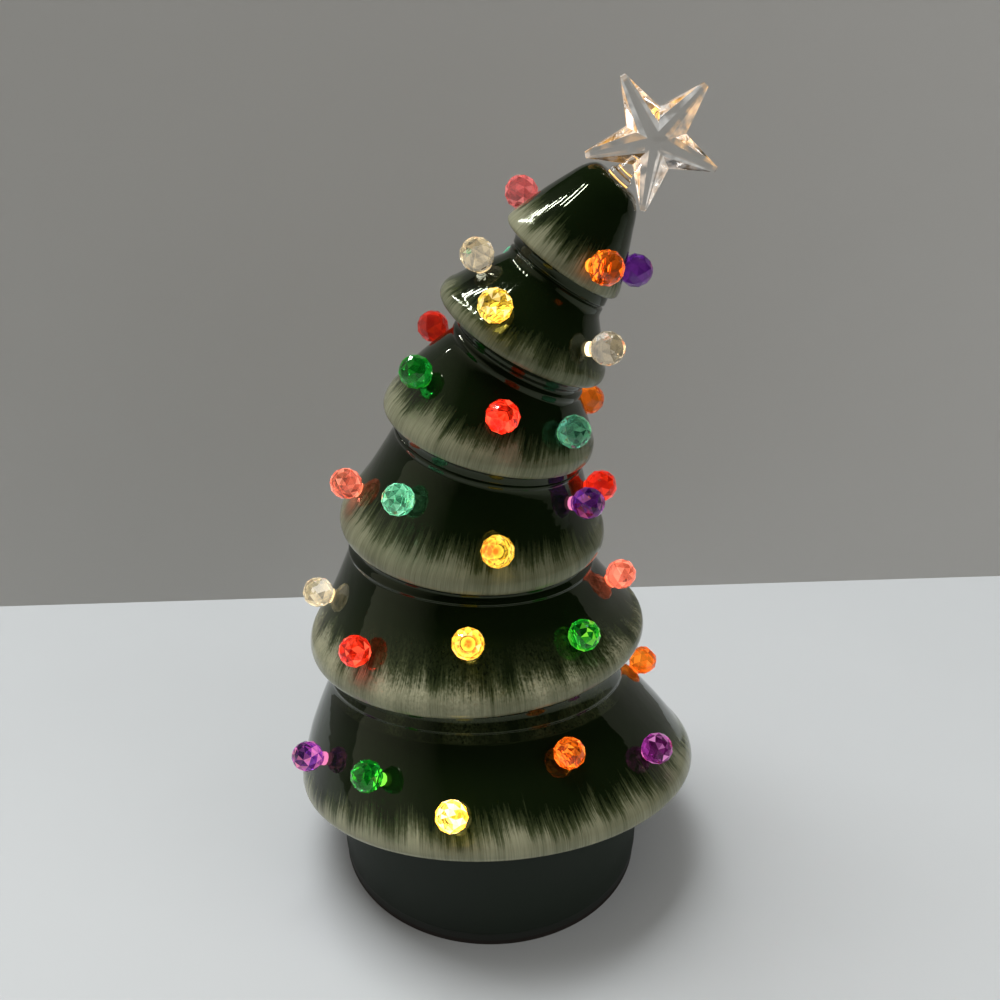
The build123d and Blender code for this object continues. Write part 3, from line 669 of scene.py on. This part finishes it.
def make_star():
    """Clear star with its stem, collar and peg.

    Half of the star is a fan of fifteen corners round its middle, three to an arm: a valley and the two
    corners of the tip. A flat strip runs down each arm, from the middle's height to the rim's. Its sides
    start on the bisectors to the next arms, and steep side facets fall from it to the outline.
    The field edge_light holds how much light a facet carries and how warm it is.
    """
    corners = 15
    arm = np.repeat(np.arange(5), 3) * (2 * math.pi / 5)
    part = np.tile(np.arange(3), 5)
    slant = (STAR_HALF - STAR_RIM) / STAR_REACH
    bisector = math.pi / 5
    strip_end, rim_end = STAR_REACH - STRIP_SHORT, STAR_REACH - RIM_SHORT
    strip_out = np.choose(part, (STRIP_CREASE * math.cos(bisector), strip_end, strip_end))
    strip_side = np.choose(part, (-STRIP_CREASE * math.sin(bisector), -STRIP_HALF, STRIP_HALF))
    strip = np.stack((strip_out, strip_side, STAR_HALF - slant * strip_out), -1)
    rim_out = np.choose(part, (STAR_VALLEY * math.cos(bisector), rim_end, rim_end))
    rim_side = np.choose(part, (-STAR_VALLEY * math.sin(bisector), -RIM_HALF, RIM_HALF))
    rim = np.stack((rim_out, rim_side, np.full(corners, STAR_RIM)), -1)
    back = np.array((1.0, 1.0, -1.0))
    rows = np.stack((strip, rim, rim * back, strip * back))
    turned = np.stack((rows[..., 0] * np.cos(arm) - rows[..., 1] * np.sin(arm),
                       rows[..., 0] * np.sin(arm) + rows[..., 1] * np.cos(arm), rows[..., 2]), -1)
    local = np.concatenate((turned.reshape(-1, 3), ((0, 0, STAR_HALF), (0, 0, -STAR_HALF))))
    outward = np.stack((TIP_ALONG, (-TIP_ALONG[2], 0.0, TIP_ALONG[0]), (0.0, -1.0, 0.0)))
    points = TIP_CENTRE + TIP_ALONG * STAR_HEIGHT + local @ outward
    stem_points, stem_faces = lathe_grid(tip_profile(STAR_STEM), 32)
    faces = poled_faces(4, corners) + shifted(stem_faces, len(points))
    piece = new_piece("clear_star", np.concatenate((points, stem_points)), faces, smooth=False)
    sides, stem_start = 3 * corners, 5 * corners
    draw = np.random.default_rng(5)
    light = np.zeros((len(faces), 3))
    long_side = np.tile((part == 0) | (part == 2), 3)
    light[:sides, 0] = np.where(long_side, draw.uniform(*SIDE_GLINT, sides), TIP_GLINT)
    light[corners:2 * corners, 0] = RIM_GLINT
    light[:sides, 1] = draw.uniform(0.0, 1.0, sides)
    light[stem_start:, 0] = STEM_GLINT
    light[stem_start:, 1] = STEM_WARMTH
    add_field(piece, "edge_light", "FLOAT_VECTOR", "FACE", light)
    soft_edge = piece.modifiers.new("soft_edge", "BEVEL")
    soft_edge.width = EDGE_WIDTH * MM
    soft_edge.segments = 2
    soft_edge.limit_method = "ANGLE"
    soft_edge.angle_limit = math.radians(EDGE_ANGLE)
    return piece


def make_star_core():
    """Lit bore of the star's peg: a thin rod with a rounded end, from the peg's foot to below the collar."""
    return lathe_piece("star_light_core", tip_profile(STAR_BORE), 16)


# Materials


def new_material(name):
    """Material with its node tree and shader."""
    material = bpy.data.materials.new(name)
    material.use_nodes = True
    return material, material.node_tree, material.node_tree.nodes["Principled BSDF"]


def feed(tree, socket, value):
    """Output of another node linked to a socket, or a plain value set on it."""
    if isinstance(value, bpy.types.NodeSocket):
        tree.links.new(value, socket)
    else:
        socket.default_value = value


def fill(tree, made, **settings):
    """Settings of a node; one that isn't a property of it names an input socket and feeds that."""
    for key, value in settings.items():
        if hasattr(made, key):
            setattr(made, key, value)
        else:
            feed(tree, made.inputs[key.replace("_", " ")], value)


def node(tree, kind, **settings):
    """New node with its settings."""
    made = tree.nodes.new(kind)
    fill(tree, made, **settings)
    return made


def maths(tree, operation, first, second, clamp=False):
    """One step of arithmetic on sockets or plain numbers."""
    step = node(tree, "ShaderNodeMath", operation=operation, use_clamp=clamp)
    for socket, value in zip(step.inputs, (first, second)):
        feed(tree, socket, value)
    return step.outputs[0]


def ranged(tree, value, low, high, top=1.0):
    """Value stretched so that low becomes 0 and high becomes top, and held between these."""
    return node(tree, "ShaderNodeMapRange", Value=value, From_Min=low, From_Max=high, To_Max=top).outputs[0]


def blend(tree, factor, first, second, kind="RGBA"):
    """Mix of two colours or numbers: the first at a factor of 0, the second at 1."""
    return node(tree, "ShaderNodeMix", data_type=kind, Factor=factor, A=first, B=second).outputs["Result"]


def field(tree, name):
    """Outputs of a field that the piece carries."""
    return node(tree, "ShaderNodeAttribute", attribute_name=name).outputs


def parts_of(tree, vector):
    """The three numbers of a vector."""
    return node(tree, "ShaderNodeSeparateXYZ", Vector=vector).outputs


def object_noise(tree, **settings):
    """Noise read from Object coordinates."""
    place = tree.nodes.new("ShaderNodeTexCoord").outputs["Object"]
    return node(tree, "ShaderNodeTexNoise", Vector=place, **settings).outputs["Fac"]


def add_bump(tree, shader, height, strength, distance):
    """Fine relief on a shader's normal."""
    relief = node(tree, "ShaderNodeBump", Height=height, Strength=strength, Distance=distance)
    fill(tree, shader, Normal=relief.outputs["Normal"])


def mottle_group():
    """Shared effect: a cloudy change of tone and roughness with a fine bump, read from Object coordinates."""
    group = bpy.data.node_groups.new("mottle", "ShaderNodeTree")
    face, colour, number = group.interface, "NodeSocketColor", "NodeSocketFloat"
    for name, kind, value in (("Colour", colour, (0.5, 0.5, 0.5, 1.0)), ("Scale", number, 60.0),
                              ("Tone", number, 0.2), ("Roughness", number, 0.5), ("Spread", number, 0.1)):
        face.new_socket(name, in_out="INPUT", socket_type=kind).default_value = value
    for name, kind in (("Colour", colour), ("Roughness", number), ("Height", number)):
        face.new_socket(name, in_out="OUTPUT", socket_type=kind)
    given = group.nodes.new("NodeGroupInput").outputs
    cloud = object_noise(group, Scale=given["Scale"], Detail=5.0, Roughness=0.6)
    grain = object_noise(group, Scale=maths(group, "MULTIPLY", given["Scale"], 14.0), Detail=2.0)
    shift = maths(group, "SUBTRACT", cloud, 0.5)
    tone = maths(group, "MULTIPLY", shift, given["Tone"])
    level = maths(group, "ADD", maths(group, "MULTIPLY", tone, 2.0), 1.0)
    tint = node(group, "ShaderNodeVectorMath", operation="SCALE", Vector=given["Colour"], Scale=level)
    uneven = maths(group, "MULTIPLY", shift, given["Spread"])
    rough = maths(group, "ADD", uneven, given["Roughness"], clamp=True)
    node(group, "NodeGroupOutput", Colour=tint.outputs[0], Roughness=rough, Height=grain)
    return group


MOTTLE = mottle_group()


def place_mottle(tree, shader, colour, roughness, scale, tone, spread):
    """Shared effect in a material, with its own values, for the shader's colour and roughness."""
    effect = node(tree, "ShaderNodeGroup", node_tree=MOTTLE, Colour=(*colour, 1.0), Scale=scale, Tone=tone,
                  Roughness=roughness, Spread=spread).outputs
    fill(tree, shader, Base_Color=effect["Colour"], Roughness=effect["Roughness"])
    return effect


def mottled(name, colour, roughness, scale=60.0, tone=0.25, spread=0.2, bump=0.05, metallic=0.0, gleam=0.5):
    """Plain finish with a cloudy tone, uneven roughness and a fine grain."""
    material, tree, shader = new_material(name)
    effect = place_mottle(tree, shader, colour, roughness, scale, tone, spread)
    add_bump(tree, shader, effect["Height"], bump, 0.3 * MM)
    fill(tree, shader, Metallic=metallic, Specular_IOR_Level=gleam)
    return material


def glaze_material():
    """Dark green glaze with pale strokes brushed up from every lip.

    Three noises, all long in the brush's way, make broad patches, bristles and hairs, and a fourth, short
    one makes specks. Their sum moves the line where the paint ends, and the paint thins towards that line.
    Patches of specks make the wash, and they break up the painted sheen that stands in for the
    reflections of the lowest waist.
    """
    material, tree, shader = new_material("dark_green_glaze")
    where = field(tree, "brush_space")["Vector"]
    height, reach, brushed = parts_of(tree, field(tree, "lip_place")["Vector"])

    step = partial(maths, tree)

    def strokes(across, along, detail, wander):
        """Noise squeezed by its scales across and along the brush, stretched to 0 and 1."""
        squeeze = node(tree, "ShaderNodeMapping", Vector=where, Scale=(across, across, along))
        noise = node(tree, "ShaderNodeTexNoise", Vector=squeeze.outputs[0], Scale=1.0, Detail=detail,
                     Roughness=0.55, Distortion=wander)
        return ranged(tree, noise.outputs["Fac"], 0.33, 0.67)

    broad = strokes(0.10, 0.8, 2.0, 0.0)
    bristle = strokes(0.75, 1.6, 3.0, 0.3)
    hair = strokes(2.2, 2.6, 2.0, 0.2)
    speck = strokes(1.1, 26.0, 3.0, 0.5)
    stroke = step("ADD", step("ADD", step("MULTIPLY", broad, 0.34), step("MULTIPLY", bristle, 0.36)),
                  step("ADD", step("MULTIPLY", hair, 0.20), step("MULTIPLY", speck, 0.10)))
    loose = step("ADD", step("MULTIPLY", height, 3.2, True), 0.14)
    ragged = step("MULTIPLY", step("SUBTRACT", stroke, 0.5), step("MULTIPLY", loose, 1.6))
    inside = step("MULTIPLY", step("SUBTRACT", reach, height), 3.6)
    cover = step("ADD", step("ADD", inside, 0.46), ragged, True)
    way_up = step("DIVIDE", height, step("ADD", reach, 0.30))
    thin = step("SUBTRACT", 1.0, step("MULTIPLY", way_up, 0.62, True))
    streak = step("ADD", step("MULTIPLY", hair, 0.18), step("ADD", step("MULTIPLY", bristle, 0.10), 0.51))
    edge = step("MULTIPLY", ranged(tree, height, -0.04, 0.0), brushed)
    load = step("ADD", streak, step("MULTIPLY", broad, 0.20))
    paint = step("MULTIPLY", step("MULTIPLY", cover, thin), step("MULTIPLY", load, edge))
    specked = step("ADD", step("MULTIPLY", broad, speck), 0.05)
    # This field also brings the painted sheen of the lowest waist, which stands in for its reflections
    wash_and_sheen = step("MULTIPLY", specked, field(tree, "wash_and_sheen")["Fac"])
    ramp = node(tree, "ShaderNodeValToRGB", Fac=step("ADD", paint, wash_and_sheen, True))
    stops = ramp.color_ramp.elements
    stops[0].color = (0.0042, 0.0086, 0.0022, 1.0)
    stops[1].color = (0.34, 0.335, 0.222, 1.0)
    stops.new(0.34).color = (0.045, 0.055, 0.023, 1.0)
    rough = step("ADD", step("MULTIPLY", paint, 0.10), 0.05)
    add_bump(tree, shader, object_noise(tree, Scale=60.0, Detail=3.0, Roughness=0.5), 0.14, 2.0 * MM)
    fill(tree, shader, Base_Color=ramp.outputs["Color"], Roughness=rough, IOR=1.5, Specular_IOR_Level=0.38,
         Specular_Tint=(0.86, 0.96, 0.66, 1.0))
    return material


def bulb_material(name):
    """Tinted clear plastic, lit from inside: each facet glows by its own amount, the strongest ones paler."""
    material, tree, shader = new_material("bulb_" + name)
    place_mottle(tree, shader, BULB_COLOUR[name], 0.03, scale=260.0, tone=0.22, spread=0.04)
    glow = field(tree, "glow")["Fac"]
    paler = ranged(tree, glow, 0.45, 1.0, 0.7)
    hue = blend(tree, paler, (*BULB_LIGHT[name], 1.0), (*BULB_BRIGHT[name], 1.0))
    fill(tree, shader, Emission_Color=hue, Emission_Strength=glow, Transmission_Weight=0.95, IOR=1.45)
    return material


def lit_end_material():
    """Lit plastic in the bulb's own colour: brightest in a ring, with a darker spot at the middle."""
    material, tree, shader = new_material("lit_stem_end")
    tint = field(tree, "lit_colour")["Vector"]
    dark = node(tree, "ShaderNodeVectorMath", operation="MULTIPLY")
    feed(tree, dark.inputs[0], tint)
    feed(tree, dark.inputs[1], (0.60, 0.22, 0.16))
    outer = ranged(tree, field(tree, "from_middle")["Fac"], 0.30, 0.75)
    shade = blend(tree, outer, dark.outputs[0], tint)
    fill(tree, shader, Base_Color=shade, Emission_Color=shade, Emission_Strength=1.8, Roughness=0.4)
    return material


def socket_light_material():
    """Warm light at the socket, slightly uneven."""
    material = mottled("socket_light", (1.0, 0.55, 0.16), 0.4, scale=300.0)
    tree = material.node_tree
    shader = tree.nodes["Principled BSDF"]
    uneven = shader.inputs["Base Color"].links[0].from_socket
    fill(tree, shader, Emission_Color=uneven, Emission_Strength=1.8)
    return material


def star_material():
    """Clear moulded plastic with a trace of haze; its edges carry light from the socket, white or warm."""
    material, tree, shader = new_material("clear_star_plastic")
    place_mottle(tree, shader, (0.98, 0.97, 0.95), 0.012, scale=120.0, tone=0.02, spread=0.012)
    carried = parts_of(tree, field(tree, "edge_light")["Vector"])
    broken = ranged(tree, object_noise(tree, Scale=210.0, Detail=2.0), 0.40, 0.62)
    warm = ranged(tree, carried["Y"], 0.28, 0.55)
    hue = blend(tree, warm, (0.92, 0.92, 0.90, 1.0), (1.0, 0.50, 0.11, 1.0))
    strength = maths(tree, "MULTIPLY", carried["X"], broken)
    fill(tree, shader, Emission_Color=hue, Emission_Strength=strength, Transmission_Weight=1.0, IOR=1.46)
    return material


# Drum


def make_drum():
    """Drum turned from a profile: roof, rounded top edge, wall, rounded foot edge and the hollow inside."""
    roof_end = level_ring(BASE_RADIUS - BASE_TOP_ROUND, BASE_TOP)
    wall_top = level_ring(BASE_RADIUS, BASE_TOP - BASE_TOP_ROUND)
    wall_foot = level_ring(BASE_RADIUS, BASE_BOTTOM + BASE_FOOT_RISE)
    foot_edge = level_ring(BASE_RADIUS - BASE_FOOT_WIDE, BASE_BOTTOM)
    inner_foot = level_ring(BASE_RADIUS - BASE_WALL, BASE_BOTTOM)
    under_roof = level_ring(BASE_RADIUS - BASE_WALL, BASE_TOP - BASE_ROOF)
    rings = np.concatenate((
        straight(level_ring(BASE_MIDDLE, BASE_TOP), roof_end, 4),
        rounded(roof_end, level_ring(BASE_RADIUS, BASE_TOP), wall_top, 6),
        straight(wall_top, wall_foot, 10),
        rounded(wall_foot, level_ring(BASE_RADIUS, BASE_BOTTOM), foot_edge, 5),
        straight(foot_edge, inner_foot, 2),
        straight(inner_foot, under_roof, 3),
        straight(under_roof, level_ring(BASE_MIDDLE, BASE_TOP - BASE_ROOF), 4)))
    return lathe_piece("drum_wall", rings, 160)


# Putting the object together

casting = make_casting()
casting.data.materials.append(glaze_material())
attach(casting, "tree")
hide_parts("tree_shell")

bulb_finish = {name: bulb_material(name) for name in BULB_COLOUR}
facet_draw = np.random.default_rng(11)
end_points, end_faces, end_reach, end_colour = [], [], [], []
for tier, row in enumerate(BULB_ROWS):
    for number, (angle, place, pull, colour) in enumerate(row):
        seat = bulb_seat(tier, angle, place)
        label = f"t{tier + 1}_{number + 1}_{colour}"
        glow = BULB_GLOW[tier][number]
        points, faces = bulb_form(pull)
        globe = new_piece("globe_" + label, seat_to_tree(points, seat), faces, smooth=False)
        facet_glow = glow * FACET_GLOW * facet_draw.uniform(0.0, 1.0, len(faces)) ** FACET_POWER
        if pull > 0:
            facet_glow[:BULB_SIDES] = 1.0
        add_field(globe, "glow", "FLOAT", "FACE", facet_glow)
        globe.data.materials.append(bulb_finish[colour])
        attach(globe, "tree")
        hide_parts("bulb_" + label)
        points, faces, reach = lit_end_form(CORE_PULL * pull)
        end_faces += shifted(faces, sum(map(len, end_points)))
        end_points.append(seat_to_tree(points, seat))
        end_reach.append(reach)
        lit = (1 - LAMP_SHARE) * np.array(BULB_LIGHT[colour]) + LAMP_SHARE * LAMP_LIGHT
        end_colour.append(np.tile(lit * (1.0 if pull > 0 else glow), (len(points), 1)))
lit_ends = new_piece("lit_stem_ends", np.concatenate(end_points), end_faces)
add_field(lit_ends, "from_middle", "FLOAT", "POINT", np.concatenate(end_reach))
add_field(lit_ends, "lit_colour", "FLOAT_VECTOR", "POINT", np.concatenate(end_colour))
lit_ends.data.materials.append(lit_end_material())
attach(lit_ends, "tree")

lit_socket = make_lit_socket()
lit_socket.data.materials.append(socket_light_material())
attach(lit_socket, "tree")

star = make_star()
star.data.materials.append(star_material())
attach(star, "star")
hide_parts("star_topper")

star_core = make_star_core()
star_core.data.materials.append(lit_socket.data.materials[0])
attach(star_core, "star")

drum = make_drum()
drum_plastic = mottled("matte_drum_plastic", (0.0118, 0.0184, 0.0116), 0.62, scale=40.0, bump=0.12,
                       gleam=0.25)
drum.data.materials.append(drum_plastic)
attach(drum, "tree")
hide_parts("base_housing")

# Finishes of the solids that are shown as they are
CAD_FINISH = {
    "seat_gasket": mottled("bond_ring", (0.62, 0.61, 0.56), 0.7),
    "base_floor": mottled("floor_plastic", (0.012, 0.015, 0.011), 0.6, bump=0.1),
    "battery_door": mottled("door_plastic", (0.014, 0.017, 0.013), 0.55, bump=0.1),
    "foot_ring": mottled("foot_rubber", (0.022, 0.016, 0.012), 0.8, scale=90.0, bump=0.25),
    "housing_screws": mottled("screw_steel", (0.45, 0.45, 0.44), 0.32, metallic=1.0),
    "battery_cells": mottled("cell_jacket", (0.05, 0.05, 0.055), 0.3),
    "contact_springs": mottled("spring_steel", (0.6, 0.6, 0.58), 0.25, metallic=1.0),
    "switch_housing": mottled("switch_body_plastic", (0.02, 0.02, 0.02), 0.5),
    "switch_knob": mottled("switch_knob_plastic", (0.03, 0.03, 0.03), 0.45, bump=0.1),
    "led_post": mottled("post_plastic", (0.7, 0.7, 0.67), 0.5),
    "led_board": mottled("lamp_board", (0.72, 0.74, 0.72), 0.4),
    "led_lamps": mottled("lamp_resin", (0.95, 0.8, 0.5), 0.3),
    "lead_wires": mottled("wire_jacket", (0.02, 0.02, 0.02), 0.5),
}
CAD_FINISH["contact_plates"] = CAD_FINISH["contact_springs"]
for name, finish in CAD_FINISH.items():
    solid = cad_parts[name]
    solid.data.materials.clear()
    solid.data.materials.append(finish)


# Stage


def plane_piece(name, corners):
    """Flat stage surface from four corners, in metres."""
    mesh = bpy.data.meshes.new(name)
    mesh.from_pydata(corners, [], [(0, 1, 2, 3)])
    piece = bpy.data.objects.new(name, mesh)
    bpy.context.scene.collection.objects.link(piece)
    return piece


def backdrop_material():
    """Grey wall paint, clear from behind."""
    material = mottled("grey_backdrop", (0.53, 0.52, 0.50), 0.8, scale=2.0, tone=0.05, bump=0.02)
    tree = material.node_tree
    behind = tree.nodes.new("ShaderNodeNewGeometry").outputs["Backfacing"]
    seen = node(tree, "ShaderNodeMixShader", Fac=behind)
    feed(tree, seen.inputs[1], tree.nodes["Principled BSDF"].outputs[0])
    feed(tree, seen.inputs[2], tree.nodes.new("ShaderNodeBsdfTransparent").outputs[0])
    fill(tree, tree.nodes["Material Output"], Surface=seen.outputs[0])
    return material


# In metres: half of the stage, the wall's distance behind the drum's middle, its slant and its height
STAGE_HALF = 4.0
WALL_AWAY = 0.189
WALL_SLANT = 0.0574
WALL_HEIGHT = 0.36

table = plane_piece("table", ((-STAGE_HALF, -STAGE_HALF, 0.0), (STAGE_HALF, -STAGE_HALF, 0.0),
                              (STAGE_HALF, STAGE_HALF, 0.0), (-STAGE_HALF, STAGE_HALF, 0.0)))
table.data.materials.append(mottled("pale_table", (0.53, 0.55, 0.565), 0.55, scale=3.0, tone=0.05, bump=0.02))
wall_left = (-STAGE_HALF, WALL_AWAY - STAGE_HALF * WALL_SLANT)
wall_right = (STAGE_HALF, WALL_AWAY + STAGE_HALF * WALL_SLANT)
backdrop = plane_piece("backdrop", ((*wall_left, 0.0), (*wall_right, 0.0),
                                    (*wall_right, WALL_HEIGHT), (*wall_left, WALL_HEIGHT)))
backdrop.data.materials.append(backdrop_material())
# The soft lamp hangs behind the wall, so the wall throws no shadow
backdrop.visible_shadow = False


def area_light(name, place, aim, size, power, colour=(1.0, 1.0, 1.0)):
    """Soft oblong lamp that faces a point."""
    lamp = bpy.data.lights.new(name, "AREA")
    lamp.shape = "RECTANGLE"
    lamp.size, lamp.size_y = size
    lamp.energy = power
    lamp.color = colour
    holder = bpy.data.objects.new(name, lamp)
    holder.location = place
    direction = np.array(aim) - np.array(place)
    tilt = math.atan2(math.hypot(direction[0], direction[1]), -direction[2])
    turn = math.atan2(direction[1], direction[0]) - math.pi / 2
    holder.rotation_euler = (tilt, 0.0, turn)
    bpy.context.scene.collection.objects.link(holder)
    return holder


# Two soft lamps light the tree from above and from the right; shiny surfaces don't see them
LOW_ON_TREE = (0.0, 0.0, 0.1)
soft_light = area_light("soft_light", (-0.50, 0.40, 2.2), LOW_ON_TREE, (1.2, 1.2), 46.0, (0.985, 1.0, 1.0))
soft_light.visible_glossy = False
right_fill = area_light("right_fill", (0.9, -0.5, 0.8), LOW_ON_TREE, (0.8, 0.8), 3.2)
right_fill.visible_glossy = False

# A row of narrow ceiling lamps, seen only in shiny and clear surfaces, makes the highlights on the glaze
HIGH_ON_TREE = (0.0, 0.0, 0.2)
for number, part in enumerate(np.linspace(-0.25, 1.25, 8)):
    spot = (-0.44 - 0.44 * part, -0.03 + 0.70 * part, 1.2)
    ceiling_lamp = area_light(f"ceiling_lamp_{number + 1}", spot, HIGH_ON_TREE, (0.022, 0.13), 1.25)
    ceiling_lamp.visible_diffuse = False


def room_world():
    """Room round the stage: lighter overhead, to the left and at the back, and pale to the camera.

    Clear plastic sees lit and unlit panels, cut from a coarse noise of the direction. Shiny surfaces see a
    darker room that is light only at the far left.
    """
    world = bpy.data.worlds.new("room")
    bpy.context.scene.world = world
    world.use_nodes = True
    tree = world.node_tree
    step = partial(maths, tree)
    way = tree.nodes.new("ShaderNodeTexCoord").outputs["Generated"]
    right, back, up = parts_of(tree, way)
    left = step("MULTIPLY", right, -0.16, True)
    overhead = step("MULTIPLY", step("SUBTRACT", up, 0.55), 0.7, True)
    level = step("ADD", step("ADD", left, overhead), step("MULTIPLY", back, 0.09))
    soft = step("MAXIMUM", step("ADD", level, 0.20), 0.05)
    noise = node(tree, "ShaderNodeTexNoise", Vector=way, Scale=2.6, Detail=1.0).outputs["Fac"]
    panel = step("MULTIPLY", step("SUBTRACT", noise, 0.54), 18.0, True)
    panels = step("ADD", step("MULTIPLY", panel, 1.1), 0.05)
    far_left = step("MULTIPLY", step("SUBTRACT", left, 0.064), 6.5, True)
    darker = step("ADD", far_left, step("MULTIPLY", soft, 0.06))
    path = tree.nodes.new("ShaderNodeLightPath").outputs
    seen = soft
    for ray, light in (("Is Transmission Ray", panels), ("Is Camera Ray", 0.42), ("Is Glossy Ray", darker)):
        seen = blend(tree, path[ray], seen, light, "FLOAT")
    fill(tree, tree.nodes["Background"], Color=(1.0, 0.955, 0.87, 1.0), Strength=seen)


room_world()

# Camera from a fit to the photo: the lens in millimetres on a 36 mm sensor, looking down by some degrees
LOOK_DOWN = 27.22
camera = bpy.data.cameras.new("camera")
camera.lens = 39.6
camera.sensor_width = 36.0
camera.shift_x = 0.0097
camera.clip_start = 0.01
holder = bpy.data.objects.new("camera", camera)
holder.location = (0.0, -0.3497, 0.3363)
holder.rotation_euler = (math.radians(90.0 - LOOK_DOWN), 0.0, 0.0)
bpy.context.scene.collection.objects.link(holder)
bpy.context.scene.camera = holder
bpy.context.scene.view_settings.view_transform = "Standard"
